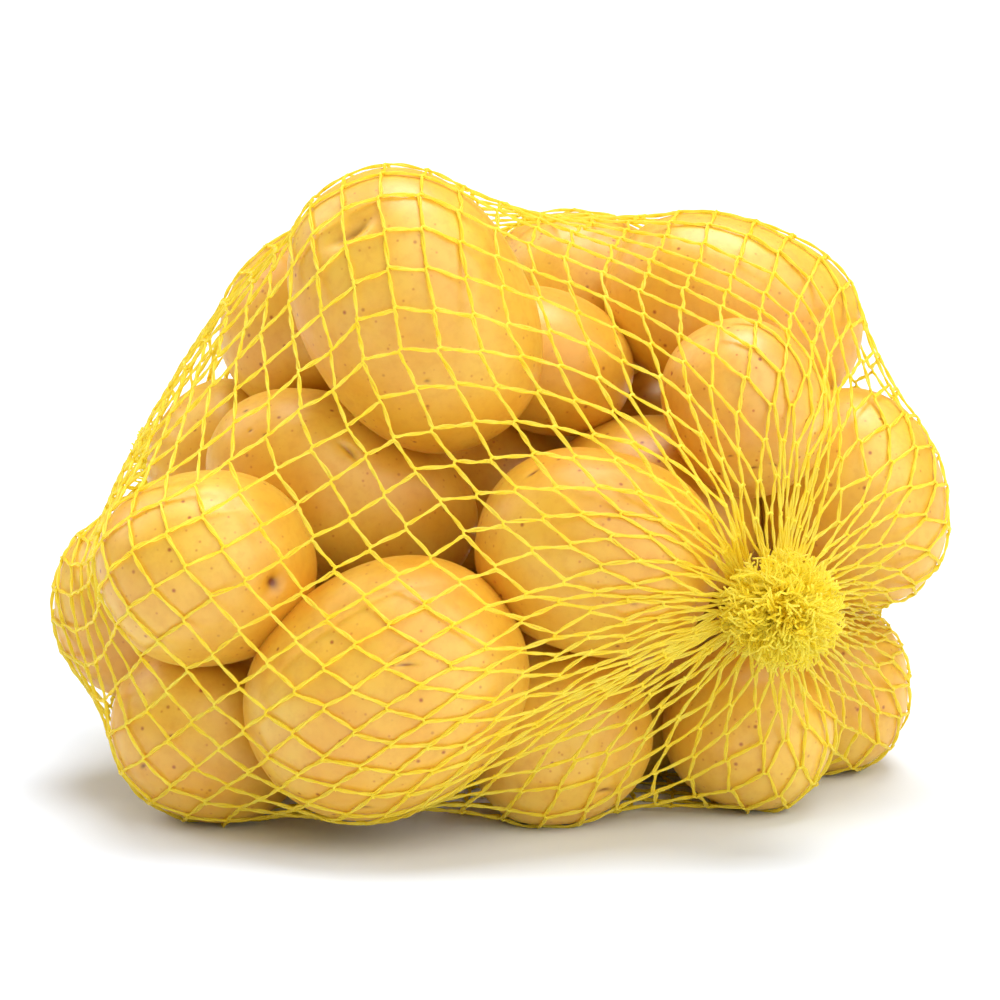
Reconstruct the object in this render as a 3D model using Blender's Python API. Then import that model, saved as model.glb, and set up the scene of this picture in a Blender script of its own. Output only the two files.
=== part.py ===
# A net bag of potatoes: a loose heap of uneven potatoes drawn together by a stretched plastic net,
# which is gathered and cut off at both ends. The bag lies on its side, on the lowest potatoes. The
# gathered net round each neck is solid, and goes on inwards as the core that holds the heap together.
# The script works in millimetres and writes metres. +X is to the right of the shown side, +Y is
# away from it, +Z is up. The origin is on the ground, under the middle of the bag.

import bpy
import bmesh
import numpy as np
from math import cos, pi, radians, sin
from mathutils import Matrix, Vector

MM = 0.001

# Each potato: its middle, its size (length, depth, height), its turn in degrees (lean of the long
# axis, right end down; yaw; roll) and how freely it may be nudged when the heap settles.
POTATOES = {
    "top_left": ((-20, -14, 133), (80, 60, 61), (60, 0, 0), 0.1),
    "behind_top_left": ((-55, 36, 119), (55, 51, 49), (-50, 0, 0), 0.3),
    "long_left": ((-41, -2, 84), (77, 51, 49), (25, 0, 0), 0.2),
    "left": ((-78, -45, 70), (57, 52, 51), (-10, 0, 0), 0.1),
    "front_left": ((-29, -57, 40), (76, 54, 62), (-30, 0, 0), 0.1),
    "low_left": ((-75, -33, 23), (54, 49, 46), (22, 0, 0), 0.2),
    "middle": ((26, -42, 75), (64, 55, 54), (15, 0, 0), 0.1),
    "low_front": ((11, -37, 25), (50, 46, 48), (-15, 0, 0), 0.2),
    "low_right": ((69, -15, 22), (46, 48, 44), (20, 0, 0), 0.2),
    "low_far_right": ((88, 19, 23), (47, 49, 47), (0, 0, 0), 0.2),
    "right": ((93, 9, 80), (60, 52, 50), (75, 0, 0), 0.1),
    "top_right": ((62, 37, 126), (73, 51, 51), (22, 0, 0), 0.1),
    "top_middle": ((28, 62, 119), (54, 50, 49), (10, 0, 0), 0.2),
    "beside_top_left": ((8, 18, 119), (47, 48, 38), (20, 0, 0), 0.2),
    "specked": ((68, -12, 105), (48, 44, 42), (60, 0, 0), 0.1),
    "far_left": ((-92, 9, 49), (57, 54, 52), (0, 0, 0), 0.2),
    "left_behind": ((-73, 38, 85), (47, 48, 46), (30, 0, 0), 0.3),
    "back_left": ((-68, 56, 25), (56, 53, 50), (0, 30, 0), 1.0),
    "back_middle": ((-18, 64, 27), (59, 50, 53), (0, -15, 0), 1.0),
    "back_right": ((33, 58, 25), (53, 55, 48), (0, 40, 0), 1.0),
    "back_low_right": ((80, 71, 22), (49, 46, 44), (0, 65, 0), 1.0),
    "under_left": ((-42, 6, 35), (60, 56, 53), (0, 0, 0), 1.0),
    "under_right": ((24, 6, 26), (56, 49, 50), (0, 20, 0), 1.0),
    "back_upper_left": ((-33, 64, 75), (61, 52, 49), (-20, 10, 0), 1.0),
    "back_upper_middle": ((8, 46, 76), (57, 55, 51), (0, -30, 0), 1.0),
    "back_upper_right": ((64, 60, 76), (59, 52, 52), (15, 20, 0), 1.0),
    "inside": ((42, 16, 79), (60, 55, 52), (0, 0, 0), 1.0),
    "back_top": ((39, 67, 94), (43, 39, 38), (0, 20, 0), 0.3),
}
SQUARENESS = 2.2  # 2 is a plain ellipsoid, more is fuller at the shoulders
LUMPS = 6  # low swells and hollows on each potato
LUMP_HEIGHT = 0.045  # of its radius
LUMP_WIDTHS = (0.45, 0.9)  # of its radius
NEAR_SKIN = 1.25  # times its longest radius: the sack is pushed off a potato only this near
BALL_STEPS = 3  # how finely a potato is divided
REST_DEPTH = 0.8  # how much of a low potato is flattened away where it rests
LOW_ENOUGH = 4.0  # a potato whose underside is lower than this rests on the ground
PRESSED = 1.2  # how far neighbours are pressed into each other where they touch
DRAWN_FROM = 7.0  # the net draws potatoes together that are closer than this
GROUND_ROW = 32.0  # potatoes whose middle is set lower than this stay down on the ground
STAY_DOWN = 0.3  # the share of any rise that they give back in each round of settling
PUSH = 0.5  # the share of an overlap that is undone in each round
PULL = 0.05  # the share of a small gap that is closed in each round
HOMING = 0.02  # the share of its way home that a potato goes back in each round
SETTLE_ROUNDS = 120
CONTACT_ROUNDS = 25
CONTACT_STEP = 0.012
BAG_SHIFT = Vector((0.0, -9.0, 0.0))  # brings the middle of the bag over the origin

# The two ends where the net is gathered: the neck's place, and the way its cut end points.
NECKS = {
    "front_tuft": ((71, -54, 64), (0.02, -1.0, -0.06)),
    "rear_tuft": ((-86, 64, 76), (-0.66, 0.74, 0.1)),
}
NECK_RADIUS = 5.0
SACK_SIDES = 24  # strips of the sack round the bag
SACK_ROWS = 18  # rings of the sack from neck to neck
SACK_START = (160.0, 125.0, 115.0)  # half the size of the wide sack, before it is drawn tight
SACK_ROUNDS = 260
SACK_EASE = 0.5  # the share of its way to the middle of its neighbours that a point goes in a round
CORE_SHARE = 0.42  # how far the sack is drawn in to its middle, away from the necks, as the core
GATHERED = 10.0  # how far from a neck the sack is still where the net is
DRAWN_IN = 85.0  # how far from a neck it is drawn in all the way
TUFT_RADIUS = 14.5
TUFT_LENGTH = 24.0
TUFT_STEPS = 7
TUFT_FULL = 0.8  # the share of its length at which a tuft is widest
TUFT_CLOSING = 0.45  # how much it draws in again at its cut end
TUFT_RIDGES = 16
RIDGE = 1.06  # how far a ridge stands out
FURROW = 0.86  # how far the furrow beside it sinks in
UNEVEN_CUT = (0.84, 1.12)  # the shortest and longest of the cut strands
NECK_GAP = 0.3  # between a tuft and the gathered net it goes on from


def turn_matrix(lean, yaw, roll):
    across = Matrix.Rotation(radians(lean), 3, "Y")
    return Matrix.Rotation(radians(yaw), 3, "Z") @ across @ Matrix.Rotation(radians(roll), 3, "X")


def contact(first, second, apart):
    """The direction in which two ellipsoids overlap least, and by how much they overlap there."""
    way = apart / np.linalg.norm(apart)
    for _ in range(CONTACT_ROUNDS):
        reach_first = np.sqrt(way @ first @ way)
        reach_second = np.sqrt(way @ second @ way)
        slope = first @ way / reach_first + second @ way / reach_second - apart
        way = way - CONTACT_STEP * (slope - (slope @ way) * way)
        way /= np.linalg.norm(way)
    return way, np.sqrt(way @ first @ way) + np.sqrt(way @ second @ way) - apart @ way


def settled_places():
    """Nudges the potatoes until they touch instead of running into each other."""
    rows = list(POTATOES.values())
    places = np.array([row[0] for row in rows], float)
    home = places.copy()
    radii = np.array([row[1] for row in rows], float) / 2
    turns = np.array([np.array(turn_matrix(*row[2])) for row in rows])
    freedom = np.array([row[3] for row in rows])
    on_ground = home[:, 2] < GROUND_ROW
    forms = np.einsum("nij,nj,nkj->nik", turns, radii**2, turns)
    for _ in range(SETTLE_ROUNDS):
        moves = np.zeros_like(places)
        for i in range(len(rows)):
            for j in range(i + 1, len(rows)):
                apart = places[j] - places[i]
                if np.linalg.norm(apart) > radii[i].max() + radii[j].max():
                    continue
                way, overlap = contact(forms[i], forms[j], apart)
                share = freedom[i] / (freedom[i] + freedom[j])
                if overlap > PRESSED:
                    moves[i] -= PUSH * share * (overlap - PRESSED) * way
                    moves[j] += PUSH * (1 - share) * (overlap - PRESSED) * way
                elif overlap > -DRAWN_FROM:
                    moves[i] -= PULL * freedom[i] * (overlap - PRESSED) * way
                    moves[j] += PULL * freedom[j] * (overlap - PRESSED) * way
        places += moves + HOMING * (home - places) * (1 - freedom)[:, None]
        places[on_ground, 2] += STAY_DOWN * (home - places)[on_ground, 2]
        underside = places[:, 2] - np.sqrt(forms[:, 2, 2])
        places[:, 2] += np.maximum(-REST_DEPTH - underside, 0)
    return dict(zip(POTATOES, places))


def lump_set(seed):
    """Where a potato swells or sinks, how much and how widely."""
    draw = np.random.default_rng(seed)
    ways = draw.normal(size=(LUMPS, 3))
    ways /= np.linalg.norm(ways, axis=1)[:, None]
    heights = draw.uniform(-1.0, 1.0, LUMPS) * LUMP_HEIGHT
    widths = draw.uniform(*LUMP_WIDTHS, LUMPS)
    return ways, heights, widths


def potato_point(way, radii, lumps):
    """The point of a potato's skin that lies in a direction of the unit sphere."""
    unit = np.array(way) / np.linalg.norm(way)
    full = unit / (np.abs(unit) ** SQUARENESS).sum() ** (1 / SQUARENESS)
    ways, heights, widths = lumps
    near = ((unit - ways) ** 2).sum(axis=1)
    swell = 1 + (heights * np.exp(-near / widths**2)).sum()
    return Vector(full * radii * swell)


def add_potato(bm, place, size, turn, seed):
    lumps = lump_set(seed)
    radii = np.array(size) / 2
    turned = turn_matrix(*turn)
    bmesh.ops.create_icosphere(bm, subdivisions=BALL_STEPS, radius=1.0)
    for vert in bm.verts:
        vert.co = turned @ potato_point(vert.co, radii, lumps) + Vector(place)
    lowest = min(vert.co.z for vert in bm.verts)
    if lowest < LOW_ENOUGH:
        bmesh.ops.translate(bm, vec=(0, 0, -REST_DEPTH - lowest), verts=bm.verts)


def mesh_object(name, bm, material):
    """Turns a mesh built in millimetres into an object, moved to the bag's own origin."""
    bmesh.ops.transform(bm, matrix=Matrix.Translation(BAG_SHIFT), verts=bm.verts)
    bmesh.ops.scale(bm, vec=(MM, MM, MM), verts=bm.verts)
    bmesh.ops.recalc_face_normals(bm, faces=bm.faces)
    mesh = bpy.data.meshes.new(name)
    bm.to_mesh(mesh)
    bm.free()
    mesh.materials.append(material)
    mesh.shade_smooth()
    made = bpy.data.objects.new(name, mesh)
    bpy.context.scene.collection.objects.link(made)
    return made


def add_turned(bm, outline, steps, place, direction):
    """Spins an outline of (radius, height) pairs round a neck's axis and closes both ends."""
    rim = [bm.verts.new((radius, 0, height)) for radius, height in outline]
    edges = [bm.edges.new(pair) for pair in zip(rim, rim[1:])]
    bmesh.ops.spin(
        bm, geom=rim + edges, cent=(0, 0, 0), axis=(0, 0, 1), angle=2 * pi, steps=steps, use_merge=True
    )
    bmesh.ops.holes_fill(bm, edges=bm.edges, sides=0)
    bmesh.ops.triangulate(bm, faces=bm.faces)
    aim = Vector(direction).normalized().to_track_quat("Z", "Y").to_matrix().to_4x4()
    bmesh.ops.transform(bm, matrix=Matrix.Translation(Vector(place)) @ aim, verts=bm.verts)


def push_out(points, heap):
    """Moves the points that lie inside a potato out to its skin."""
    for middle, radii, turned, (ways, heights, widths) in heap:
        apart = points - middle
        near = np.flatnonzero((apart**2).sum(axis=1) < (NEAR_SKIN * radii.max()) ** 2)
        local = apart[near] @ turned / radii
        unit = local / np.linalg.norm(local, axis=1)[:, None]
        power = np.abs(unit) ** (SQUARENESS - 1)
        full = (power * np.abs(unit)).sum(axis=1) ** (1 / SQUARENESS)
        apart_ways = ((unit[:, None] - ways) ** 2).sum(axis=2)
        swell = 1 + (heights * np.exp(-apart_ways / widths**2)).sum(axis=1)
        level = np.linalg.norm(local, axis=1) * full / swell
        slope = (np.sign(unit) * power / radii / (full ** (SQUARENESS - 1) * swell)[:, None]) @ turned.T
        steep = np.linalg.norm(slope, axis=1)
        deep = (1 - level) / steep
        inside = deep > 0
        points[near[inside]] += (slope / steep[:, None] * deep[:, None])[inside]


def neck_ring(place, inward):
    """A ring of points round a neck, counted the same way round at both ends of the bag."""
    inward = Vector(inward).normalized()
    up = (Vector((0, 0, 1)) - inward * inward.z).normalized()
    side = inward.cross(up)
    return [
        Vector(place) + NECK_RADIUS * (up * cos(turn) + side * sin(turn))
        for turn in np.arange(SACK_SIDES) * 2 * pi / SACK_SIDES
    ]


def drawn_sack(places):
    """The rings of the net sack, let go wide round the heap and drawn tight over it."""
    heap = []
    for seed, (name, (_, size, turn, _)) in enumerate(POTATOES.items()):
        heap.append((places[name], np.array(size) / 2, np.array(turn_matrix(*turn)), lump_set(seed)))
    front, front_out = (Vector(part) for part in NECKS["front_tuft"])
    rear, rear_out = (Vector(part) for part in NECKS["rear_tuft"])
    axis = (front - rear).normalized()
    up = (Vector((0, 0, 1)) - axis * axis.z).normalized()
    side = axis.cross(up)
    middle = (front + rear) / 2
    rings = np.empty((SACK_ROWS + 1, SACK_SIDES, 3))
    for row in range(SACK_ROWS + 1):
        along = pi * row / SACK_ROWS
        for strip in range(SACK_SIDES):
            turn = 2 * pi * strip / SACK_SIDES
            way = -axis * cos(along) + (up * cos(turn) + side * sin(turn)) * sin(along)
            reach = sum((part / half) ** 2 for part, half in zip(way, SACK_START)) ** -0.5
            rings[row, strip] = middle + way * reach
    rings[0] = neck_ring(rear, -rear_out)
    rings[-1] = neck_ring(front, front_out)
    for _ in range(SACK_ROUNDS):
        inner = rings[1:-1]
        beside = np.roll(inner, 1, axis=1) + np.roll(inner, -1, axis=1)
        eased = (rings[:-2] + rings[2:] + beside) / 4
        flat = (inner + SACK_EASE * (eased - inner)).reshape(-1, 3)
        push_out(flat, heap)
        rings[1:-1] = flat.reshape(inner.shape)
    return rings


def add_sack(bm, places):
    """The net as a closed skin: where it lies near the necks, and drawn in as a core elsewhere."""
    rings = drawn_sack(places)
    ends = np.array([place for place, _ in NECKS.values()], float)
    middle = ends.mean(axis=0)
    away = np.linalg.norm(rings[:, :, None] - ends, axis=3).min(axis=2) - NECK_RADIUS
    share = np.clip((away - GATHERED) / (DRAWN_IN - GATHERED), 0, 1)
    share = CORE_SHARE * share**2 * (3 - 2 * share)
    rings += (middle - rings) * share[:, :, None]
    verts = [[bm.verts.new(spot) for spot in ring] for ring in rings]
    for ring, after in zip(verts, verts[1:]):
        for strip in range(SACK_SIDES):
            ahead = (strip + 1) % SACK_SIDES
            bm.faces.new((ring[strip], ring[ahead], after[ahead], after[strip]))
    bm.faces.new(reversed(verts[0]))
    bm.faces.new(verts[-1])
    bmesh.ops.triangulate(bm, faces=bm.faces)


def add_tuft(bm, place, direction, seed):
    """The frayed end beyond the neck: a short brush, ridged and cut uneven."""
    outline = []
    for step in range(TUFT_STEPS + 1):
        along = step / TUFT_STEPS
        opened = sin(min(along / TUFT_FULL, 1) * pi / 2)
        closed = max(along - TUFT_FULL, 0) / (1 - TUFT_FULL)
        radius = NECK_RADIUS + (TUFT_RADIUS - NECK_RADIUS) * opened
        outline.append((radius * (1 - TUFT_CLOSING * closed), NECK_GAP + TUFT_LENGTH * along))
    draw = np.random.default_rng(seed)
    reach = draw.uniform(*UNEVEN_CUT, 2 * TUFT_RIDGES)
    add_turned(bm, outline, 2 * TUFT_RIDGES, place, direction)
    neck = Vector(place)
    axis = Vector(direction).normalized()
    side = axis.orthogonal().normalized()
    for vert in bm.verts:
        along = (vert.co - neck).dot(axis)
        out = vert.co - neck - along * axis
        if along < NECK_GAP * 2:
            continue
        turn = np.arctan2(out.dot(axis.cross(side)), out.dot(side)) / (2 * pi) % 1
        ridge = round(turn * 2 * TUFT_RIDGES) % (2 * TUFT_RIDGES)
        swell = reach[ridge] * (RIDGE if ridge % 2 else FURROW)
        vert.co = neck + axis * along * (1 + reach[ridge]) / 2 + out * swell


def skin_material():
    """Washed yellow potato skin: pale, dry and slightly waxy."""
    material = bpy.data.materials.new("potato_skin")
    material.use_nodes = True
    shader = material.node_tree.nodes["Principled BSDF"]
    shader.inputs["Base Color"].default_value = (0.83, 0.51, 0.15, 1)
    shader.inputs["Roughness"].default_value = 0.5
    shader.inputs["Metallic"].default_value = 0.0
    return material


def net_material():
    """Lemon yellow polyethylene net yarn."""
    material = bpy.data.materials.new("net_yarn")
    material.use_nodes = True
    shader = material.node_tree.nodes["Principled BSDF"]
    shader.inputs["Base Color"].default_value = (0.92, 0.70, 0.03, 1)
    shader.inputs["Roughness"].default_value = 0.35
    shader.inputs["Metallic"].default_value = 0.0
    return material


def evaluated(thing):
    """The object's mesh with its modifiers applied."""
    graph = bpy.context.evaluated_depsgraph_get()
    return bpy.data.meshes.new_from_object(thing.evaluated_get(graph))


def potato_heap(places, skin):
    """All the potatoes, joined with the gathered net and its core, flat where they rest."""
    bm = bmesh.new()
    add_sack(bm, places)
    heap = mesh_object("potato_heap", bm, skin)
    parts = bpy.data.collections.new("heap_parts")
    bpy.context.scene.collection.children.link(parts)
    for seed, (name, (_, size, turn, _)) in enumerate(POTATOES.items()):
        bm = bmesh.new()
        add_potato(bm, places[name], size, turn, seed)
        parts.objects.link(mesh_object("potato_" + name, bm, skin))
    join = heap.modifiers.new("join", "BOOLEAN")
    join.operation = "UNION"
    join.operand_type = "COLLECTION"
    join.collection = parts
    heap.data = evaluated(heap)
    heap.modifiers.clear()
    for thing in list(parts.objects):
        bpy.data.objects.remove(thing)
    bpy.data.collections.remove(parts)
    flatten_underside(heap)
    return heap


def flatten_underside(heap):
    """Cuts the heap level at the ground."""
    bm = bmesh.new()
    bm.from_mesh(heap.data)
    everything = bm.verts[:] + bm.edges[:] + bm.faces[:]
    cut = bmesh.ops.bisect_plane(
        bm, geom=everything, dist=1e-6, plane_co=(0, 0, 0), plane_no=(0, 0, 1), clear_inner=True
    )
    rims = [item for item in cut["geom_cut"] if isinstance(item, bmesh.types.BMEdge)]
    bmesh.ops.holes_fill(bm, edges=rims, sides=0)
    bmesh.ops.triangulate(bm, faces=bm.faces)
    bm.to_mesh(heap.data)
    bm.free()


def tuft(name, seed, yarn):
    place, direction = NECKS[name]
    bm = bmesh.new()
    add_tuft(bm, place, direction, seed)
    return mesh_object(name, bm, yarn)


def main():
    for thing in list(bpy.data.objects):
        bpy.data.objects.remove(thing)
    skin = skin_material()
    yarn = net_material()
    potato_heap(settled_places(), skin)
    for seed, name in enumerate(NECKS):
        tuft(name, 100 + seed, yarn)


main()
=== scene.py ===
from math import cos, pi, radians, sin

import bmesh
import bpy
import numpy as np
from mathutils import Matrix, Vector, noise


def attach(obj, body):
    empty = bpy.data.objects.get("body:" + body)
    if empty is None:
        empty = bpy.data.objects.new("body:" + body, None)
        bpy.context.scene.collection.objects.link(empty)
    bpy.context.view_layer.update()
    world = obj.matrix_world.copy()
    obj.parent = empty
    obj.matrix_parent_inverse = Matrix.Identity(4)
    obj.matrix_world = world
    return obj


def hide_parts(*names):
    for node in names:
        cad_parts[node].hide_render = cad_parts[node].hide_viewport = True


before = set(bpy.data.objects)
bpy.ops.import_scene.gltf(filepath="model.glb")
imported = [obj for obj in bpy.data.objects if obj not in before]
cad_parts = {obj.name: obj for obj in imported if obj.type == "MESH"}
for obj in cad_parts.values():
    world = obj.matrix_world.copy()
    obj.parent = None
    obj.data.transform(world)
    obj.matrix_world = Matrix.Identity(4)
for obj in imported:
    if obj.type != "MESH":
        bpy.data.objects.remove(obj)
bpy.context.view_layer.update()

# A net bag of washed yellow potatoes, lying on its side. Lengths are in millimetres, measured from
# the middle of the heap, and every finished mesh is moved and scaled once to metres.
mm = 0.001
tiny = 1e-9  # keeps a length from being nothing where it divides
bagShift = Vector((0.0, -9.0, 0.0))  # brings the middle of the bag over the origin
scene = bpy.context.scene


def linear(hexColour):
    shares = [int(hexColour[i:i + 2], 16) / 255 for i in (1, 3, 5)]
    return (*(c / 12.92 if c <= 0.04045 else ((c + 0.055) / 1.055) ** 2.4 for c in shares), 1.0)


def addNode(tree, kind, inputs=None, **settings):
    node = tree.nodes.new(kind)
    for key, value in settings.items():
        setattr(node, key, value)
    for socket, value in (inputs or {}).items():
        if isinstance(value, bpy.types.NodeSocket):
            tree.links.new(value, node.inputs[socket])
        else:
            node.inputs[socket].default_value = value
    return node


def newMaterial(name):
    material = bpy.data.materials.new(name)
    material.use_nodes = True
    material.node_tree.nodes.clear()
    return material, material.node_tree


def newObject(name, data):
    made = bpy.data.objects.new(name, data)
    scene.collection.objects.link(made)
    return made


def meshPiece(name, bm, material):
    bmesh.ops.transform(bm, matrix=Matrix.Translation(bagShift), verts=bm.verts)
    bmesh.ops.scale(bm, vec=(mm, mm, mm), verts=bm.verts)
    mesh = bpy.data.meshes.new(name)
    bm.to_mesh(mesh)
    bm.free()
    mesh.materials.append(material)
    mesh.shade_smooth()
    return newObject(name, mesh)


def yarnPiece(name, lines, radius, material):
    # a curve with one open spline for each thread, made a mesh before it is used
    curve = bpy.data.curves.new(name, "CURVE")
    curve.dimensions = "3D"
    curve.bevel_depth = radius * mm
    curve.bevel_resolution = 0  # a thread has four sides
    curve.use_fill_caps = True
    for line in lines:
        spline = curve.splines.new("POLY")
        spline.points.add(len(line) - 1)
        spots = np.ones((len(line), 4))
        spots[:, :3] = (np.array(line) + np.array(bagShift)) * mm
        spline.points.foreach_set("co", spots.ravel())
    drawn = newObject(name, curve)
    graph = bpy.context.evaluated_depsgraph_get()
    mesh = bpy.data.meshes.new_from_object(drawn.evaluated_get(graph))
    bpy.data.objects.remove(drawn)
    mesh.name = name
    mesh.materials.clear()
    mesh.materials.append(material)
    return newObject(name, mesh)


def unitWay(way):
    return way / np.linalg.norm(way)


def unitRows(rows):
    return rows / np.maximum(np.linalg.norm(rows, axis=1), tiny)[:, None]


# The camera looks along the photograph's direction, a little down on the bag.
view = {"target": (0, 0, 80), "distance": 1200, "elevation": 11, "lens": 159.84, "sensor": 36}
cameraData = bpy.data.cameras.new("camera")
cameraData.lens = view["lens"]
cameraData.sensor_width = view["sensor"]
camera = newObject("camera", cameraData)
lookFrom = Vector((0, -cos(radians(view["elevation"])), sin(radians(view["elevation"]))))
camera.location = (Vector(view["target"]) + bagShift + lookFrom * view["distance"]) * mm
camera.rotation_euler = (-lookFrom).to_track_quat("-Z", "Y").to_euler()
scene.camera = camera
print("camera set")


# Each potato: its middle, its size (length, depth, height), its turn in degrees (lean of the long
# axis, yaw, roll) and how freely it may be nudged when the heap settles.
potatoes = {
    "top_left": ((-20, -14, 133), (80, 60, 61), (60, 0, 0), 0.1),
    "behind_top_left": ((-55, 36, 119), (55, 51, 49), (-50, 0, 0), 0.3),
    "long_left": ((-41, -2, 84), (77, 51, 49), (25, 0, 0), 0.2),
    "left": ((-78, -45, 70), (57, 52, 51), (-10, 0, 0), 0.1),
    "front_left": ((-29, -57, 40), (76, 54, 62), (-30, 0, 0), 0.1),
    "low_left": ((-75, -33, 23), (54, 49, 46), (22, 0, 0), 0.2),
    "middle": ((26, -42, 75), (64, 55, 54), (15, 0, 0), 0.1),
    "low_front": ((11, -37, 25), (50, 46, 48), (-15, 0, 0), 0.2),
    "low_right": ((69, -15, 22), (46, 48, 44), (20, 0, 0), 0.2),
    "low_far_right": ((88, 19, 23), (47, 49, 47), (0, 0, 0), 0.2),
    "right": ((93, 9, 80), (60, 52, 50), (75, 0, 0), 0.1),
    "top_right": ((62, 37, 126), (73, 51, 51), (22, 0, 0), 0.1),
    "top_middle": ((28, 62, 119), (54, 50, 49), (10, 0, 0), 0.2),
    "beside_top_left": ((8, 18, 119), (47, 48, 38), (20, 0, 0), 0.2),
    "specked": ((68, -12, 105), (48, 44, 42), (60, 0, 0), 0.1),
    "far_left": ((-92, 9, 49), (57, 54, 52), (0, 0, 0), 0.2),
    "left_behind": ((-73, 38, 85), (47, 48, 46), (30, 0, 0), 0.3),
    "back_left": ((-68, 56, 25), (56, 53, 50), (0, 30, 0), 1.0),
    "back_middle": ((-18, 64, 27), (59, 50, 53), (0, -15, 0), 1.0),
    "back_right": ((33, 58, 25), (53, 55, 48), (0, 40, 0), 1.0),
    "back_low_right": ((80, 71, 22), (49, 46, 44), (0, 65, 0), 1.0),
    "under_left": ((-42, 6, 35), (60, 56, 53), (0, 0, 0), 1.0),
    "under_right": ((24, 6, 26), (56, 49, 50), (0, 20, 0), 1.0),
    "back_upper_left": ((-33, 64, 75), (61, 52, 49), (-20, 10, 0), 1.0),
    "back_upper_middle": ((8, 46, 76), (57, 55, 51), (0, -30, 0), 1.0),
    "back_upper_right": ((64, 60, 76), (59, 52, 52), (15, 20, 0), 1.0),
    "inside": ((42, 16, 79), (60, 55, 52), (0, 0, 0), 1.0),
    "back_top": ((39, 67, 94), (43, 39, 38), (0, 20, 0), 0.3),
}
potatoForm = {
    "squareness": 2.2,  # 2 is a plain ellipsoid
    "lumps": 6, "lumpHeight": 0.045, "lumpWidths": (0.45, 0.9),  # shares of the radius
    "dimples": 16, "dimpleDepth": 0.004, "dimpleWidths": (0.10, 0.28), "dimpleSeed": 500,
    "waves": ((7.0, 1.0), (3.0, 0.5)),  # mm from one wave of the skin to the next, and its share
    "waveHeight": 0.08, "waveSink": 0.7,  # mm, and the share of it by which the waves lie deeper
    "ballSteps": 5, "roughSteps": 4,  # how finely a potato is divided, and one just measured
    "finer": (1.0, 0.75, 0.55),  # how far each further halving reaches round an eye
    "restHeight": 1.2,  # the net lies between a low potato and the ground
}
settling = {
    "pressed": 1.2,  # how far neighbours are pressed into each other
    "drawnFrom": 7.0,  # the net draws potatoes together that are closer than this
    "groundRow": 32.0, "stayDown": 0.3,  # the lowest row stays on the ground
    "push": 0.5, "pull": 0.05, "homing": 0.02, "rounds": 120,
    "contactRounds": 25, "contactStep": 0.012,
    "lowEnough": 4.0, "restDepth": 0.8,  # a potato as low as this stands, pressed a little flat
}


def turnMatrix(lean, yaw, roll):
    across = Matrix.Rotation(radians(lean), 3, "Y")
    return Matrix.Rotation(radians(yaw), 3, "Z") @ across @ Matrix.Rotation(radians(roll), 3, "X")


def contact(firstForm, secondForm, apart):
    # for each pair of ellipsoids, the direction in which they overlap least, and by how much
    def reach(form, way):
        return np.sqrt(np.einsum("ni,nij,nj->n", way, form, way))
    way = unitRows(apart)
    for step in range(settling["contactRounds"]):
        slope = np.einsum("nij,nj->ni", firstForm, way) / reach(firstForm, way)[:, None]
        slope += np.einsum("nij,nj->ni", secondForm, way) / reach(secondForm, way)[:, None] - apart
        way = way - settling["contactStep"] * (slope - (slope * way).sum(1)[:, None] * way)
        way = unitRows(way)
    return way, reach(firstForm, way) + reach(secondForm, way) - (apart * way).sum(1)


def settlePotatoes():
    rows = list(potatoes.values())
    places = np.array([row[0] for row in rows], float)
    home = places.copy()
    radii = np.array([row[1] for row in rows], float) / 2
    turns = np.array([np.array(turnMatrix(*row[2])) for row in rows])
    freedom = np.array([row[3] for row in rows])
    onGround = home[:, 2] < settling["groundRow"]
    forms = np.einsum("nij,nj,nkj->nik", turns, radii**2, turns)
    first, second = np.triu_indices(len(rows), 1)
    for step in range(settling["rounds"]):
        apart = places[second] - places[first]
        near = np.linalg.norm(apart, axis=1) <= radii.max(1)[first] + radii.max(1)[second]
        i, j = first[near], second[near]
        way, overlap = contact(forms[i], forms[j], apart[near])
        excess = overlap - settling["pressed"]
        share = freedom[i] / (freedom[i] + freedom[j])
        push = np.where(excess > 0, settling["push"] * excess, 0)
        drawn = (excess <= 0) & (overlap > -settling["drawnFrom"])
        pull = np.where(drawn, settling["pull"] * excess, 0)
        moves = np.zeros_like(places)
        np.add.at(moves, i, -(push * share + pull * freedom[i])[:, None] * way)
        np.add.at(moves, j, (push * (1 - share) + pull * freedom[j])[:, None] * way)
        places += moves + settling["homing"] * (home - places) * (1 - freedom)[:, None]
        places[onGround, 2] += settling["stayDown"] * (home - places)[onGround, 2]
        underside = places[:, 2] - np.sqrt(forms[:, 2, 2])
        places[:, 2] += np.maximum(-settling["restDepth"] - underside, 0)
    return places


def swellAt(units, ways, heights, widths):
    near = ((units[:, None] - ways) ** 2).sum(axis=2)
    return (heights * np.exp(-near / widths**2)).sum(axis=1)


def skinPoints(potato, units, fine=False):
    # where the skin lies in each direction of the unit ball
    units = unitRows(units)
    power = potatoForm["squareness"]
    full = units / (np.abs(units) ** power).sum(axis=1)[:, None] ** (1 / power)
    swell = 1 + swellAt(units, *potato["lumps"])
    if fine:
        swell -= swellAt(units, *potato["dimples"])
    return (full * potato["radii"] * swell[:, None]) @ potato["turn"].T + potato["middle"]


def unitBall(steps):
    bm = bmesh.new()
    bmesh.ops.create_icosphere(bm, subdivisions=steps, radius=1.0)
    return bm


def directions(bm):
    return np.array([vert.co[:] for vert in bm.verts])


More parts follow.
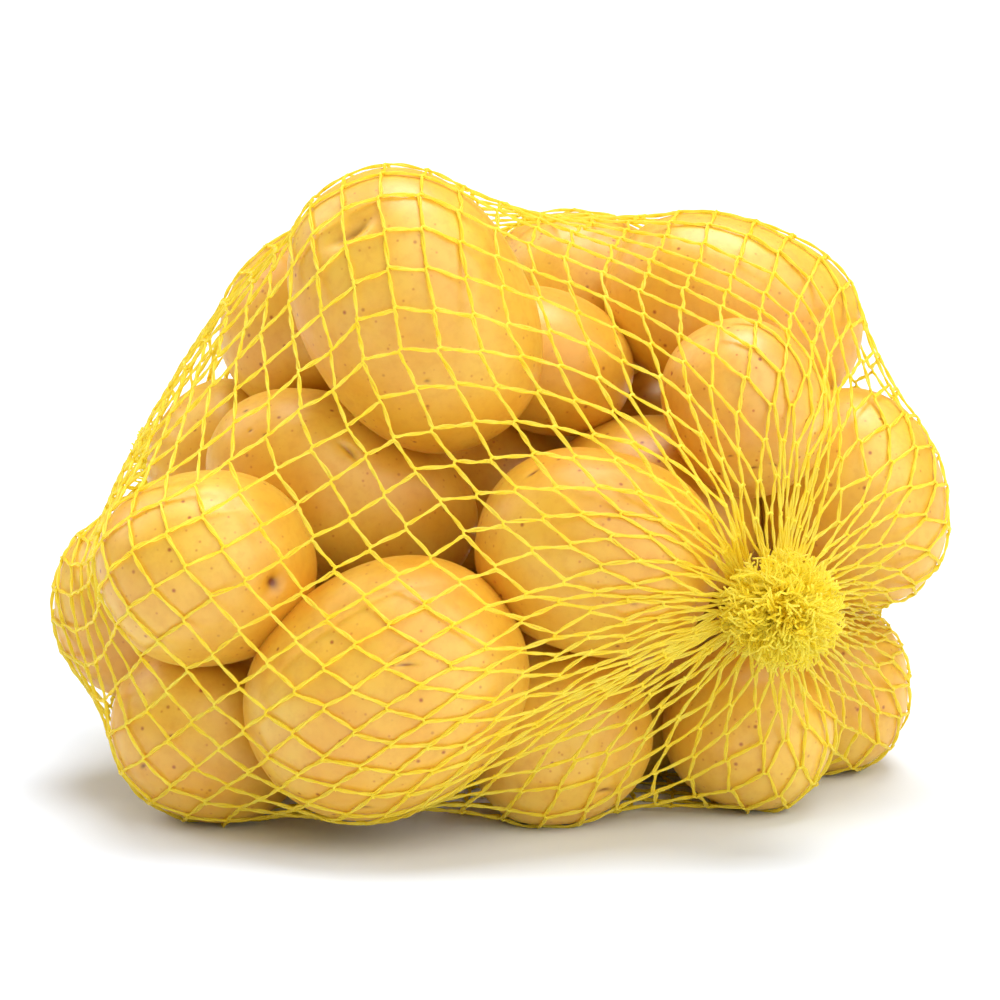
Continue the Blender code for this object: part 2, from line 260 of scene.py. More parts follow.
def describePotatoes():
    # every potato where it has settled, with the lumps and dimples that make it uneven
    described = {}
    rough = unitBall(potatoForm["roughSteps"])
    roughWays = directions(rough)
    rough.free()
    lumps, dimples = potatoForm["lumps"], potatoForm["dimples"]
    for seed, ((name, row), place) in enumerate(zip(potatoes.items(), settlePotatoes())):
        draw = np.random.default_rng(seed)
        ways = unitRows(draw.normal(size=(lumps, 3)))
        heights = draw.uniform(-1.0, 1.0, lumps) * potatoForm["lumpHeight"]
        widths = draw.uniform(*potatoForm["lumpWidths"], lumps)
        draw = np.random.default_rng(seed + potatoForm["dimpleSeed"])
        small = unitRows(draw.normal(size=(dimples, 3)))
        depths = draw.uniform(0.0, 1.0, dimples) * potatoForm["dimpleDepth"]
        potato = {
            "seed": seed, "middle": np.array(place), "radii": np.array(row[1], float) / 2,
            "turn": np.array(turnMatrix(*row[2])), "lumps": (ways, heights, widths),
            "dimples": (small, depths, draw.uniform(*potatoForm["dimpleWidths"], dimples)),
        }
        lowest = skinPoints(potato, roughWays)[:, 2].min()
        if lowest < settling["lowEnough"]:
            potato["middle"][2] += -settling["restDepth"] - lowest
        described[name] = potato
    return described


heap = describePotatoes()
print("heap settled:", len(heap), "potatoes")


# Eyes and scars of the potatoes that show: the way from the potato's middle, the tilt of the mark
# in degrees, its length and width, how deep it lies and how dark it is.
marks = {
    "top_left": [
        ((-0.47, -0.57, 0.68), 212, 5.5, 1.8, 2.6, 0.6),  # the fold: a dent whose dark stain is partly painted shade in the crease
        ((0.55, -0.80, -0.2), -30, 1.2, 0.6, 0.3, 0.6),
        ((0.1, -0.9, -0.45), 10, 0.9, 0.7, 0.3, 0.7),
    ],
    "long_left": [
        ((0.11, -0.82, 0.56), -50, 3.0, 0.9, 0.9, 0.7),
        ((-0.70, -0.27, 0.66), 0, 0.8, 0.7, 0.2, 0.9),
        ((-0.68, -0.47, 0.56), 20, 0.7, 0.5, 0.2, 0.8),
        ((-0.59, -0.57, 0.57), 0, 0.8, 0.6, 0.2, 0.8),
    ],
    "left": [
        ((0.70, -0.71, 0.03), -40, 2.2, 2.4, 1.8, 1.2),  # the round brown eye
        ((-0.2, -0.9, -0.4), 15, 1.0, 0.6, 0.3, 0.5),
    ],
    "front_left": [
        ((0.15, -0.86, 0.49), 40, 3.2, 0.7, 0.7, 0.7),
        ((0.20, -0.88, 0.43), 5, 2.4, 0.6, 0.6, 0.8),
        ((-0.62, -0.27, -0.74), -20, 2.2, 1.0, 0.5, 0.8),
        ((-0.16, -0.53, -0.83), 10, 2.0, 0.9, 0.5, 0.7),
    ],
    "low_left": [
        ((-0.63, -0.76, -0.15), 30, 1.3, 0.9, 0.5, 0.9),
        ((-0.33, -0.92, 0.2), 0, 1.1, 0.8, 0.4, 0.9),
    ],
    "middle": [
        ((-0.57, -0.34, 0.75), 60, 1.8, 0.9, 0.5, 1.0),
        ((0.3, -0.9, -0.3), 0, 1.0, 0.6, 0.3, 0.5),
    ],
    "low_front": [
        ((0.50, -0.71, -0.50), -15, 2.4, 1.0, 0.8, 0.9),
    ],
    "specked": [
        ((0.05, -0.83, -0.55), 10, 1.2, 0.6, 0.2, 0.9),
        ((0.28, -0.80, -0.52), -35, 1.4, 0.5, 0.2, 0.9),
        ((-0.22, -0.88, -0.42), 20, 0.8, 0.5, 0.2, 0.8),
    ],
}
hiddenEyes = {  # a loose spiral of them, on the sides that the photograph doesn't show
    "count": 9, "turn": 2.4, "stray": 0.3,  # radians from one to the next, and how far off
    "reach": 0.85,  # how near it comes to a potato's ends, as a share of its half length
    "behind": 0.25,  # potatoes at the front have them only where they face the back
    "lengths": (1.6, 3.2), "widths": (0.7, 1.1), "depths": (0.3, 0.8), "darkness": (0.4, 0.9),
    "tilt": 60, "seed": 900,
}
eyeForm = {
    "finer": (1.6, 2.0),  # where the skin is finer: a share of the eye's length, and mm more
    "bow": 0.08,  # a slit bows a little
    "deepest": 6.0,  # the skin further than this under the eye belongs to the potato's other side
    "parts": {  # shares of the eye's length and width, mm wider, widths over it, share of its depth
        "slit": (1.0, 1.0, 0.0, 0.0, -0.6),
        "bowl": (1.5, 3.2, 1.0, 0.0, -0.5),
        "brow": (1.2, 1.3, 0.0, 2.4, 0.35),
    },
    "stainAndShade": (0.85, 0.6),  # shares of the eye's length and width
}


def eyesOf(name, potato):
    # the marks that show, and the hidden eyes, by their way in the potato's own unit ball
    eyes = list(marks.get(name, []))
    draw = np.random.default_rng(potato["seed"] + hiddenEyes["seed"])
    reach, stray, tilt = hiddenEyes["reach"], hiddenEyes["stray"], hiddenEyes["tilt"]
    for step in range(hiddenEyes["count"]):
        turn = step * hiddenEyes["turn"] + draw.uniform(-stray, stray)
        height = -reach + 2 * reach * (step + 0.5) / hiddenEyes["count"]
        side = (1 - height**2) ** 0.5
        way = potato["turn"] @ np.array((height, side * cos(turn), side * sin(turn)))
        if way[1] < hiddenEyes["behind"] and not name.startswith("back"):
            continue
        ranges = [hiddenEyes[size] for size in ("lengths", "widths", "depths", "darkness")]
        sizes = [draw.uniform(*limits) for limits in ranges]
        eyes.append((way, draw.uniform(-tilt, tilt), *sizes))
    toBall = potato["turn"].T
    return [(unitWay(toBall @ np.array(way) / potato["radii"]), *eye) for way, *eye in eyes]


def mound(along, over, length, width):
    return np.exp(-((along / length) ** 2) - (over / width) ** 2)


def eyeRelief(potato, eye, spots):
    # how far an eye raises the skin at each spot, and how dark it stains it; in the top left fold
    # the darkening is partly painted shade
    unit, tilt, length, width, depth, dark = eye
    centre = skinPoints(potato, unit[None], fine=True)[0]
    normal = unitWay(centre - potato["middle"])
    lie = np.array((cos(radians(tilt)), 0.0, sin(radians(tilt))))
    lie = unitWay(lie - normal * (lie @ normal))
    offset = spots - centre
    along, over = offset @ lie, offset @ np.cross(normal, lie)
    over = over + eyeForm["bow"] * along**2 / length
    facing = (offset @ normal) > -eyeForm["deepest"]
    lift = np.zeros(len(spots))
    for long, wide, wider, above, height in eyeForm["parts"].values():
        size = long * length, wide * width + wider
        lift += height * depth * mound(along, over - above * width, *size)
    long, wide = eyeForm["stainAndShade"]
    return lift * facing, dark * mound(along, over, long * length, wide * width) * facing


def potatoMesh(name, potato):
    bm = unitBall(potatoForm["ballSteps"])
    eyes = eyesOf(name, potato)
    ofLength, more = eyeForm["finer"]
    for share in potatoForm["finer"]:
        for unit, tilt, length, *sizes in eyes:
            reach = share * (length * ofLength + more) / potato["radii"].mean()
            eyeWay = Vector(unit)
            close = {vert for vert in bm.verts if (vert.co.normalized() - eyeWay).length < reach}
            edges = [edge for edge in bm.edges if close.issuperset(edge.verts)]
            bmesh.ops.subdivide_edges(bm, edges=edges, cuts=1)
        bmesh.ops.triangulate(bm, faces=[face for face in bm.faces if len(face.verts) > 3])
    spots = skinPoints(potato, unitRows(directions(bm)), fine=True)
    outward = unitRows(spots - potato["middle"])
    waves = [sum(share * noise.noise(Vector(spot) / size) for size, share in potatoForm["waves"])
             for spot in spots]
    lift = (np.array(waves) - potatoForm["waveSink"]) * potatoForm["waveHeight"]
    darkness = np.zeros(len(spots))
    for eye in eyes:
        relief, stainAndShade = eyeRelief(potato, eye, spots)
        lift += relief
        darkness = np.maximum(darkness, stainAndShade)
    spots += outward * lift[:, None]
    spots[:, 2] = np.maximum(spots[:, 2], potatoForm["restHeight"])
    # how dark the eyes' real stains are, with painted shade in the top left potato's fold
    layer = bm.verts.layers.float.new("eyeStainAndShade")
    for vert, spot, dark in zip(bm.verts, spots, darkness):
        vert.co = spot
        vert[layer] = dark
    return bm


# Washed potato skin: thin, dry cork over moist flesh. It gives a soft broad highlight, light that
# goes a little way in and comes out more orange, fine brown lenticels and darker eyes.
skin = {
    "tints": {  # pale, golden and deep yellow, and how strong the freckles are
        "washed_potato_skin": ("#E9BF46", "#E2A92D", "#CE8820", 1.0),
        "freckled_potato_skin": ("#EBBE58", "#E0A63A", "#CA8026", 1.5),
    },
    "freckles": (3.2, 0.16, 0.6, "#BE6412"),  # mm apart, size as a share of that, strength, colour
    "specks": (6.5, 0.115, 0.85, "#A0420A"),
    # the eye colour darkens the eyes' real stains and also paints shade into the top left potato's
    # fold
    "dotCore": 0.3,  # the share of a dot that is fully dark
    "eye": "#7A360C", "roughness": (0.32, 0.52),
    "driftSize": 28, "mottleSize": 3.0, "grainSize": 0.5,  # mm
}


def potatoSkin(name, pale, golden, deep, freckled):
    material, tree = newMaterial(name)
    place = addNode(tree, "ShaderNodeTexCoord").outputs["Object"]
    drift = addNode(tree, "ShaderNodeTexNoise", {
        "Vector": place, "Scale": 1 / (skin["driftSize"] * mm), "Detail": 2.0,
    }).outputs["Fac"]
    mottle = addNode(tree, "ShaderNodeTexNoise", {
        "Vector": place, "Scale": 1 / (skin["mottleSize"] * mm), "Detail": 4.0, "Roughness": 0.6,
    }).outputs["Fac"]
    grain = addNode(tree, "ShaderNodeTexNoise", {
        "Vector": place, "Scale": 1 / (skin["grainSize"] * mm), "Detail": 3.0,
    }).outputs["Fac"]
    driftShare = addNode(tree, "ShaderNodeMapRange", {
        "Value": drift, "From Min": 0.35, "From Max": 0.65,
    }).outputs[0]
    mottleShare = addNode(tree, "ShaderNodeMapRange", {
        "Value": mottle, "From Min": 0.45, "From Max": 0.8, "To Max": 0.4,
    }).outputs[0]
    layers = [(driftShare, pale), (mottleShare, deep)]
    for spacing, size, strength, tint in (skin["freckles"], skin["specks"]):
        cells = addNode(tree, "ShaderNodeTexVoronoi", {
            "Vector": place, "Scale": 1 / (spacing * mm), "Randomness": 1.0,
        })
        dot = addNode(tree, "ShaderNodeMapRange", {
            "Value": cells.outputs["Distance"], "From Min": size,
            "From Max": size * skin["dotCore"], "To Max": min(strength * freckled, 1.0),
        })
        layers.append((dot.outputs[0], tint))
    # the eyes' stains and the painted shade in the fold darken the skin to the eye colour
    eyeStainAndShade = addNode(tree, "ShaderNodeAttribute", attribute_name="eyeStainAndShade")
    layers.append((eyeStainAndShade.outputs["Fac"], skin["eye"]))
    colour = linear(golden)
    for share, tint in layers:  # a Mix node has its colours on inputs 6 and 7 and output 2
        colour = addNode(tree, "ShaderNodeMix", {
            "Factor": share, 6: colour, 7: linear(tint),
        }, data_type="RGBA").outputs[2]
    smoothest, dullest = skin["roughness"]
    dull = addNode(tree, "ShaderNodeMapRange", {
        "Value": mottle, "To Min": smoothest, "To Max": dullest,
    })
    relief = addNode(tree, "ShaderNodeBump", {
        "Height": grain, "Strength": 0.35, "Distance": 0.06 * mm,
    })
    shader = addNode(tree, "ShaderNodeBsdfPrincipled", {
        "Base Color": colour, "Roughness": dull.outputs[0], "Normal": relief.outputs[0],
        "IOR": 1.5, "Specular IOR Level": 0.8,
        "Subsurface Weight": 0.3, "Subsurface Radius": (3.0, 1.1, 0.35), "Subsurface Scale": mm,
    })
    addNode(tree, "ShaderNodeOutputMaterial", {"Surface": shader.outputs[0]})
    return material


yellowSkin, tanSkin = (potatoSkin(name, *tints) for name, tints in skin["tints"].items())
pieces = []
for potatoName, potato in heap.items():
    material = tanSkin if potatoName == "specked" else yellowSkin
    piece = meshPiece("potato_" + potatoName, potatoMesh(potatoName, potato), material)
    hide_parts("potato_heap")
    pieces.append(piece)
print("potatoes made:", sum(len(piece.data.polygons) for piece in pieces), "faces")


# The net is knitted from zigzag strands, each tied to its neighbours in turn. It is let go as a
# wide sack round the heap and drawn tight over the potatoes.
netting = {
    "strands": 96, "rows": 36,  # zigzag strands round the bag, and ties along each
    "side": 10.2, "taut": 0.93, "sideSpread": 0.06,  # mm between ties, drawn in and uneven
    "tie": 1.2, "tieSlack": 0.1,  # mm across a tie, and how little it holds the strands apart
    "clearance": 0.6,  # from the skin to the middle of a strand
    "wide": 2.0,  # mm between the wide sack and the heap's outline
    "rounds": (400, 140, 90), "passes": 2,  # the net is halved between the stages
    "stiffness": 0.9, "slackStiffness": 0.15,
    "momentum": 0.8, "calm": 0.5, "calmRounds": 25,  # at the end of a stage the net comes to rest
    "touch": 1e-6, "stick": 0.02,  # mm, a point that is pushed out but hardly moves is held
    "ground": -3.0, "seed": 3,
    "nearby": (1.12, 3.0),  # a potato pushes at a share of its half length, and mm more
    "neckRadii": (2.2, 3.6, 5.0), "axisEnd": 30.0,  # mm of the long axis that each neck takes up
}
outline = {
    "planes": 900, "swell": 1.03,  # flat planes laid round the heap, and how far off it
    "slant": 0.05,  # planes that lie steeper than this to a direction don't bound it
    "ringSteps": 721, "lineSteps": 240,
}
necks = {
    "rear_tuft": {"place": (-86, 64, 76), "outward": (-0.56, 0.82, 0.06)},
    "front_tuft": {"place": (71, -54, 64), "outward": (0.24, -1.0, -0.2)},
}
rear, front = (np.array(necks[name]["place"], float) for name in ("rear_tuft", "front_tuft"))
bagLength = np.linalg.norm(front - rear)
longAxis = (front - rear) / bagLength
upAcross = unitWay(np.array((0, 0, 1.0)) - longAxis * longAxis[2])
sideAcross = np.cross(longAxis, upAcross)
bagMiddle = (rear + front) / 2


def pushOut(points):
    # moves every point that is nearer to a potato or the ground than it may be
    power = potatoForm["squareness"]
    ofLength, more = netting["nearby"]
    for potato in heap.values():
        reach = (potato["radii"].max() * ofLength + more) ** 2
        apart = points - potato["middle"]
        near = np.flatnonzero((apart**2).sum(axis=1) < reach)
        local = apart[near] @ potato["turn"] / potato["radii"]
        size = np.linalg.norm(local, axis=1) + tiny
        unit = local / size[:, None]
        steepness = np.abs(unit) ** (power - 1)
        full = (steepness * np.abs(unit)).sum(axis=1) ** (1 / power)
        swell = 1 + swellAt(unit, *potato["lumps"])
        level = size * full / swell  # 1 on the skin
        slope = np.sign(unit) * steepness / full[:, None] ** (power - 1)
        slope = slope / potato["radii"] / swell[:, None] @ potato["turn"].T
        steep = np.linalg.norm(slope, axis=1)
        deep = netting["clearance"] - (level - 1) / steep
        out = deep > 0
        points[near[out]] += slope[out] / steep[out, None] * deep[out, None]
    points[:, 2] = np.maximum(points[:, 2], netting["ground"])


def outlineReach(ways):
    # how far the heap's taut outline is from the bag's middle in each direction
    planes, slant, far = outline["planes"], outline["slant"], 1e9
    k = np.arange(planes) + 0.5
    height = 1 - 2 * k / planes
    turn = k * pi * (1 + 5**0.5)
    flat = np.sqrt(1 - height**2)
    normals = np.stack([flat * np.cos(turn), flat * np.sin(turn), height], axis=1)
    support = np.full(planes, -far)
    for potato in heap.values():
        form = potato["turn"] @ np.diag(potato["radii"] ** 2) @ potato["turn"].T
        reach = np.sqrt(np.einsum("ni,ij,nj->n", normals, form, normals)) * outline["swell"]
        support = np.maximum(support, normals @ (potato["middle"] - bagMiddle) + reach)
    dots = ways @ normals.T
    return np.where(dots > slant, support / np.maximum(dots, slant), far).min(axis=1)


def arcOf(line):
    # how far along the line each of its points is
    return np.concatenate([[0], np.cumsum(np.linalg.norm(np.diff(line, axis=0), axis=1))])


def evenly(line, count):
    arc = arcOf(line)
    wanted = np.linspace(0, arc[-1], count)
    return np.stack([np.interp(wanted, arc, line[:, axis]) for axis in range(3)], axis=1)


def wideNet():
    # the strands, spread evenly round the bag and drawn from neck to neck over the heap's outline
    strands, rows = netting["strands"], netting["rows"]
    turns = np.linspace(0, 2 * pi, outline["ringSteps"])
    ring = np.cos(turns)[:, None] * upAcross + np.sin(turns)[:, None] * sideAcross
    arc = arcOf(ring * outlineReach(ring)[:, None])
    turns = np.interp(np.linspace(0, arc[-1], strands + 1)[:-1], arc, turns)
    along = np.linspace(0, pi, outline["lineSteps"])[:, None]
    net = np.empty((strands, rows + 1, 3))
    for strand, turn in enumerate(turns):
        across = cos(turn) * upAcross + sin(turn) * sideAcross
        ways = -np.cos(along) * longAxis + np.sin(along) * across
        reach = outlineReach(ways)[:, None] + netting["wide"]
        net[strand] = evenly(bagMiddle + ways * reach, rows + 1)
    return net, turns


def neckRing(place, forward, turns):
    # where the strands begin or end: in turn on three rings about the neck's middle
    forward = unitWay(np.array(forward))
    across = unitWay(upAcross - forward * (forward @ upAcross))
    radii = np.array(netting["neckRadii"])
    radius = radii[np.arange(len(turns)) % len(radii)]
    ring = np.cos(turns)[:, None] * across + np.sin(turns)[:, None] * np.cross(forward, across)
    return place + radius[:, None] * ring


def drawTogether(net, ofFirst, ofSecond, wanted, taut, slack):
    # draws pairs of points to the wanted distance, by one share when they are apart, else another
    pull = net[ofSecond] - net[ofFirst]
    length = np.linalg.norm(pull, axis=2)
    hold = np.where(length > wanted, taut, slack)
    pull = pull * (0.5 * hold * (length - wanted) / np.maximum(length, tiny))[:, :, None]
    net[ofFirst] += pull
    net[ofSecond] -= pull


def drawNetTight():
    net, turns = wideNet()
    strands, rows = netting["strands"], netting["rows"]
    tautSide, slackSide = netting["stiffness"], netting["slackStiffness"]
    start = neckRing(rear, -np.array(necks["rear_tuft"]["outward"]), turns)
    end = neckRing(front, necks["front_tuft"]["outward"], turns)
    draw = np.random.default_rng(netting["seed"])
    uneven = 1 + netting["sideSpread"] * draw.normal(size=(strands, rows))
    rest = netting["side"] * netting["taut"] * uneven
    net[:, 0], net[:, -1] = start, end
    parts = 1  # how many pieces each side of a cell is divided into
    for stage, rounds in enumerate(netting["rounds"]):
        if stage:
            finer = np.empty((strands, net.shape[1] * 2 - 1, 3))
            finer[:, ::2] = net
            finer[:, 1::2] = (net[:, 1:] + net[:, :-1]) / 2
            net, rest, parts = finer, np.repeat(rest / 2, 2, axis=1), parts * 2
        last = net.shape[1] - 1
        sides, ties = [], []
        for odd in (0, 1):
            sides.append((np.s_[:, odd:last:2], np.s_[:, odd + 1:last + 1:2], rest[:, odd::2]))
            left, columns = np.arange(odd, strands, 2), np.arange(odd, rows + 1, 2) * parts
            ties.append((np.ix_(left, columns), np.ix_((left + 1) % strands, columns)))
        before = net.copy()
        for step in range(rounds):
            calm = netting["calm"] if step >= rounds - netting["calmRounds"] else 1
            held = net.copy()
            net = net + netting["momentum"] * (net - before) * calm
            before = held
            for again in range(netting["passes"]):
                for first, second, wanted in sides:  # strands pull along their length
                    drawTogether(net, first, second, wanted, tautSide, slackSide)
                for left, right in ties:  # and are tied to the next strand at every other row
                    drawTogether(net, left, right, netting["tie"], 1.0, netting["tieSlack"])
            net[:, 0], net[:, -1] = start, end
            flat = net.reshape(-1, 3)
            loose = flat.copy()
            pushOut(flat)
            touching = np.abs(flat - loose).sum(axis=1) > netting["touch"]
            slow = np.linalg.norm(flat - held.reshape(-1, 3), axis=1) < netting["stick"]
            stuck = touching & slow
            flat[stuck] = held.reshape(-1, 3)[stuck]
            net = flat.reshape(net.shape)
            net[:, 0], net[:, -1] = start, end
    net[:, :, 2] = np.maximum(net[:, :, 2], netting["clearance"])
    return net, parts


net, netParts = drawNetTight()
sideLengths = np.linalg.norm(np.diff(net, axis=1), axis=2).sum(axis=1) / netting["rows"]
print("net drawn tight: mean side", round(float(sideLengths.mean()), 2), "mm")


# Drawn polyethylene film yarn: glossy, slightly see-through lemon plastic, split along its length
# into threads, so light runs along it in fine streaks.
yarn = {
    "threads": 2, "threadRadius": 0.34, "spread": 0.28, "flatness": 0.8,  # mm, and a strand's depth
    "pitch": 13.0, "pitchSpread": (0.8, 1.25),  # mm of one turn of the threads round each other
    "twistWave": (0.7, 9.0), "spreadWave": (0.35, 5.0),  # how uneven they are, and over how many mm
    "tieRadius": 0.34, "tieReach": 0.3, "tieSlip": 0.35, "tieLift": 0.4,  # mm
    "sectors": 4, "seed": 71,  # the strands are shared out over so many pieces
    "colour": "#FFF45E", "shade": "#FFEC40", "roughness": (0.2, 0.45), "letsThrough": 0.5,
    "driftSize": 5.0, "streakSize": 0.4,  # mm
}


def yarnPlastic():
    material, tree = newMaterial("polyethylene_net_yarn")
    place = addNode(tree, "ShaderNodeTexCoord").outputs["Object"]
    drift, streak = (addNode(tree, "ShaderNodeTexNoise", {
        "Vector": place, "Scale": 1 / (yarn[size] * mm), "Detail": 2.0,
    }).outputs["Fac"] for size in ("driftSize", "streakSize"))
    share = addNode(tree, "ShaderNodeMapRange", {
        "Value": drift, "From Min": 0.35, "From Max": 0.65,
    })
    colour = addNode(tree, "ShaderNodeMix", {
        "Factor": share.outputs[0], 6: linear(yarn["shade"]), 7: linear(yarn["colour"]),
    }, data_type="RGBA").outputs[2]
    smoothest, dullest = yarn["roughness"]
    dull = addNode(tree, "ShaderNodeMapRange", {
        "Value": streak, "To Min": smoothest, "To Max": dullest,
    })
    gloss = addNode(tree, "ShaderNodeBsdfPrincipled", {
        "Base Color": colour, "Roughness": dull.outputs[0], "IOR": 1.5,
    })
    through = addNode(tree, "ShaderNodeBsdfTranslucent", {"Color": colour})
    film = addNode(tree, "ShaderNodeMixShader", {
        "Fac": yarn["letsThrough"], 1: gloss.outputs[0], 2: through.outputs[0],
    })
    inside = addNode(tree, "ShaderNodeNewGeometry").outputs["Backfacing"]
    clear = addNode(tree, "ShaderNodeBsdfTransparent")
    film = addNode(tree, "ShaderNodeMixShader", {  # light leaves a thread freely
        "Fac": inside, 1: film.outputs[0], 2: clear.outputs[0],
    })
    addNode(tree, "ShaderNodeOutputMaterial", {"Surface": film.outputs[0]})
    return material


netPlastic = yarnPlastic()


def roundedLine(line):
    # the line with a point more in the middle of every step, on a smooth curve
    before = np.concatenate([2 * line[:1] - line[1:2], line[:-2]])
    after = np.concatenate([line[2:], 2 * line[-1:] - line[-2:-1]])
    middles = (9 * (line[:-1] + line[1:]) - before - after) / 16
    finer = np.empty((len(line) * 2 - 1, 3))
    finer[::2], finer[1::2] = line, middles
    return finer


def outwardOf(points):
    # away from the bag's long axis
    along = np.clip((points - rear) @ longAxis, netting["axisEnd"], bagLength - netting["axisEnd"])
    return unitRows(points - rear - along[:, None] * longAxis)


def threadsOf(line, draw):
    # the threads of a strand wind loosely round each other
    heading = unitRows(np.gradient(line, axis=0))
    out = outwardOf(line)
    out = unitRows(out - (out * heading).sum(axis=1)[:, None] * heading)
    across = np.cross(heading, out)
    arc = arcOf(line)
    pitch = yarn["pitch"] * draw.uniform(*yarn["pitchSpread"]) * draw.choice((-1, 1))
    (twist, twistLength), (swell, swellLength) = yarn["twistWave"], yarn["spreadWave"]
    threads = []
    for thread in range(yarn["threads"]):
        twistPhase, swellPhase, spare = draw.uniform(0, 2 * pi, 3)
        turn = 2 * pi * (arc / pitch + thread / yarn["threads"])
        turn = turn + twist * np.sin(arc / twistLength + twistPhase)
        spread = yarn["spread"] * (1 + swell * np.sin(arc / swellLength + swellPhase))
        lift = yarn["flatness"] * np.cos(turn)
        offset = lift[:, None] * out + np.sin(turn)[:, None] * across
        threads.append(line + spread[:, None] * offset)
    return threads


draw = np.random.default_rng(yarn["seed"])
strandLines = [roundedLine(line) for line in net]
for number, sector in enumerate(np.array_split(strandLines, yarn["sectors"]), 1):
    threads = [thread for line in sector for thread in threadsOf(line, draw)]
    piece = yarnPiece("net_strands_" + str(number), threads, yarn["threadRadius"], netPlastic)
    pieces.append(piece)


def tieLines():
    # where two strands are knitted together, two threads cross from one to the other
    lines = []
    for row in range(1, netting["rows"]):
        for strand in range(row % 2, netting["strands"], 2):
            a = net[strand, row * netParts]
            b = net[(strand + 1) % netting["strands"], row * netParts]
            way = (b - a) / max(np.linalg.norm(b - a), tiny)
            out = outwardOf(((a + b) / 2)[None])[0]
            out = unitWay(out - way * (out @ way))
            reach, slip = way * yarn["tieReach"], np.cross(way, out) * yarn["tieSlip"]
            middle = (a + b) / 2 + out * yarn["tieLift"]
            for side in (1, -1):
                lines.append([a - reach + slip * side, middle, b + reach - slip * side])
    return lines


piece = yarnPiece("net_ties", tieLines(), yarn["tieRadius"], netPlastic)
pieces.append(piece)
netPieces = [piece for piece in pieces if "net" in piece.name]
print("net knitted:", sum(len(piece.data.polygons) for piece in netPieces), "faces")


# The cut ends beyond each neck: crinkled threads that burst open into a ball.
tuft = {
    "kinds": {  # how many, their radius, their shortest and longest share of the ball's radius
        "threads": (1050, 0.28, 0.6, 1.08), "bundles": (420, 1.1, 0.4, 0.7),
    },
    "radius": 15.5, "forward": 7.0,  # mm, and how far the ball's middle is beyond the neck
    "spread": 2.1,  # radians that the threads lean over at most
    "longer": 0.4,  # below 1 there are more long threads than short ones
    "rootRadius": 4.0, "rootLean": 1.4,  # mm, and how the threads are shared out over it
    "swept": 4.5, "sweeps": (0.6, 0.7, 0.5),  # mm, and shares: fallen over, to a side, at random
    "bend": 5.0, "endSweep": 0.4,  # mm that the bend lies lower, and the end's share of the sweep
    "crinkle": 0.35, "crinkleSizes": (0.3, 1.2), "crinkleFrom": 3.0,  # mm, shares, from the root
    "crinkleLength": (4.0, 8.0), "secondWave": 0.6,
    "points": 8, "seed": 40,
}


def tuftLines(neck, seed, count, shortest, longest):
    draw = np.random.default_rng(seed)
    place = np.array(neck["place"], float)
    axis = unitWay(np.array(neck["outward"]))
    across = unitWay(upAcross - axis * (axis @ upAcross))
    over = np.cross(axis, across)
    steps = np.linspace(0, 1, tuft["points"])[:, None]
    fall, sway, stray = tuft["sweeps"]
    second = tuft["secondWave"]
    lines = []
    for number in range(count):
        turn = draw.uniform(0, 2 * pi)
        lean = tuft["spread"] * draw.uniform(0, 1)
        length = shortest + (longest - shortest) * draw.uniform(0, 1) ** tuft["longer"]
        flank = cos(turn) * across + sin(turn) * over
        aim = cos(lean) * axis + sin(lean) * flank
        fallen = cos(lean) * flank - sin(lean) * axis
        begin = place + tuft["rootRadius"] * sin(lean / tuft["rootLean"]) * flank
        swept = fall * min(lean, 1) * fallen + sway * draw.normal() * np.cross(aim, fallen)
        swept = (swept + stray * draw.normal() * fallen) * tuft["swept"]
        end = place + axis * tuft["forward"] + aim * tuft["radius"] * length
        bend = end - swept - aim * draw.uniform(0.0, tuft["bend"])
        end = end + swept * tuft["endSweep"]
        line = (1 - steps) ** 2 * begin + 2 * steps * (1 - steps) * bend + steps**2 * end
        wave = 2 * pi * np.linalg.norm(end - begin) / draw.uniform(*tuft["crinkleLength"])
        sideways = unitWay(np.cross(aim, draw.normal(size=3)))
        other = np.cross(aim, sideways)
        phase = draw.uniform(0, 2 * pi, 2)
        size = tuft["crinkle"] * draw.uniform(*tuft["crinkleSizes"])
        size = size * np.minimum(steps * tuft["crinkleFrom"], 1)
        crinkle = np.sin(steps * wave + phase[0]) * sideways
        crinkle = crinkle + second * np.sin(steps * wave * second + phase[1]) * other
        lines.append(line + size * crinkle)
    return lines


for number, (neckName, neck) in enumerate(necks.items()):
    for kind, (count, radius, shortest, longest) in tuft["kinds"].items():
        lines = tuftLines(neck, tuft["seed"] + number, count, shortest, longest)
        piece = yarnPiece(neckName + "_" + kind, lines, radius, netPlastic)
        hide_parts(neckName)
        pieces.append(piece)
print("tufts made")

for piece in pieces:
    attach(piece, "root")


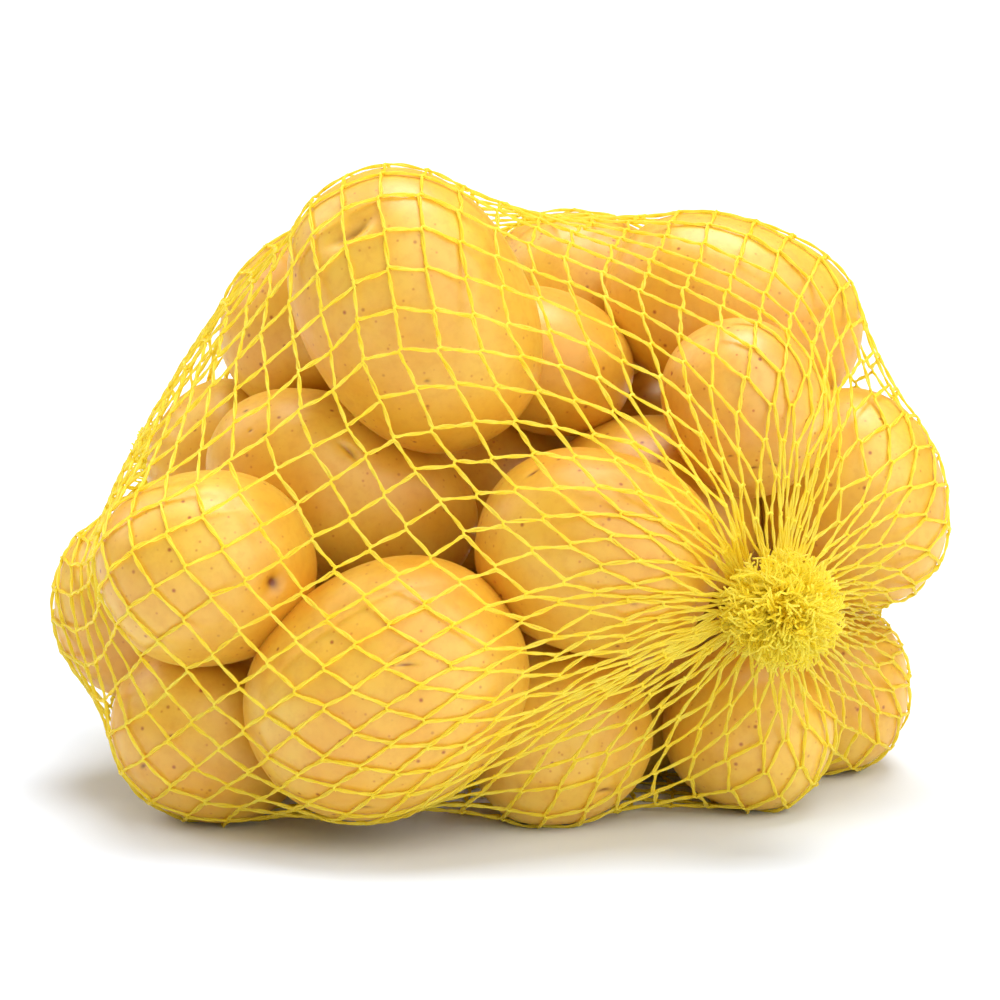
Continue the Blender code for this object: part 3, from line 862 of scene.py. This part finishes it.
# Plain white floor and soft studio light: broad softboxes above and a little behind, on the right
# in front and on the left behind, and white all round. They are far off, so the floor stays even.
# The floor is matt paper, with hardly a shine and a fibre drawn coarser than it is.
studio = {
    "floor": "#E4EEFD", "floorReach": 8.0, "fibreSize": 2.5,  # metres from its middle, and mm
    "world": "#FFE8C8", "worldStrength": 0.34,
    "lights": {  # where it shines from, how many degrees wide it is, its power
        "top": ((0.1, 0.2, 1.0), 38, 2.5),
        "key": ((0.6, -0.65, 0.65), 70, 2.1),
        "rim": ((-0.75, 0.35, 0.65), 45, 1.1),
    },
}
bm = bmesh.new()
bmesh.ops.create_grid(bm, x_segments=2, y_segments=2, size=studio["floorReach"])
floorMesh = bpy.data.meshes.new("floor")
bm.to_mesh(floorMesh)
bm.free()
floor = newObject("floor", floorMesh)
floorPaper, tree = newMaterial("matt_white_paper")
place = addNode(tree, "ShaderNodeTexCoord").outputs["Object"]
fibre = addNode(tree, "ShaderNodeTexNoise", {
    "Vector": place, "Scale": 1 / (studio["fibreSize"] * mm),
})
dull = addNode(tree, "ShaderNodeMapRange", {
    "Value": fibre.outputs["Fac"], "To Min": 0.85, "To Max": 0.95,
})
shader = addNode(tree, "ShaderNodeBsdfPrincipled", {
    "Base Color": linear(studio["floor"]), "Roughness": dull.outputs[0], "Specular IOR Level": 0.2,
})
addNode(tree, "ShaderNodeOutputMaterial", {"Surface": shader.outputs[0]})
floorMesh.materials.append(floorPaper)
for lightName, (place, softness, power) in studio["lights"].items():
    lamp = bpy.data.lights.new(lightName, "SUN")
    lamp.angle = radians(softness)
    lamp.energy = power
    light = newObject(lightName, lamp)
    light.rotation_euler = (-Vector(place)).to_track_quat("-Z", "Y").to_euler()
world = bpy.data.worlds.new("studio")
world.use_nodes = True
world.node_tree.nodes["Background"].inputs["Color"].default_value = linear(studio["world"])
world.node_tree.nodes["Background"].inputs["Strength"].default_value = studio["worldStrength"]
scene.world = world
scene.view_settings.view_transform = "Standard"
print("studio lit")
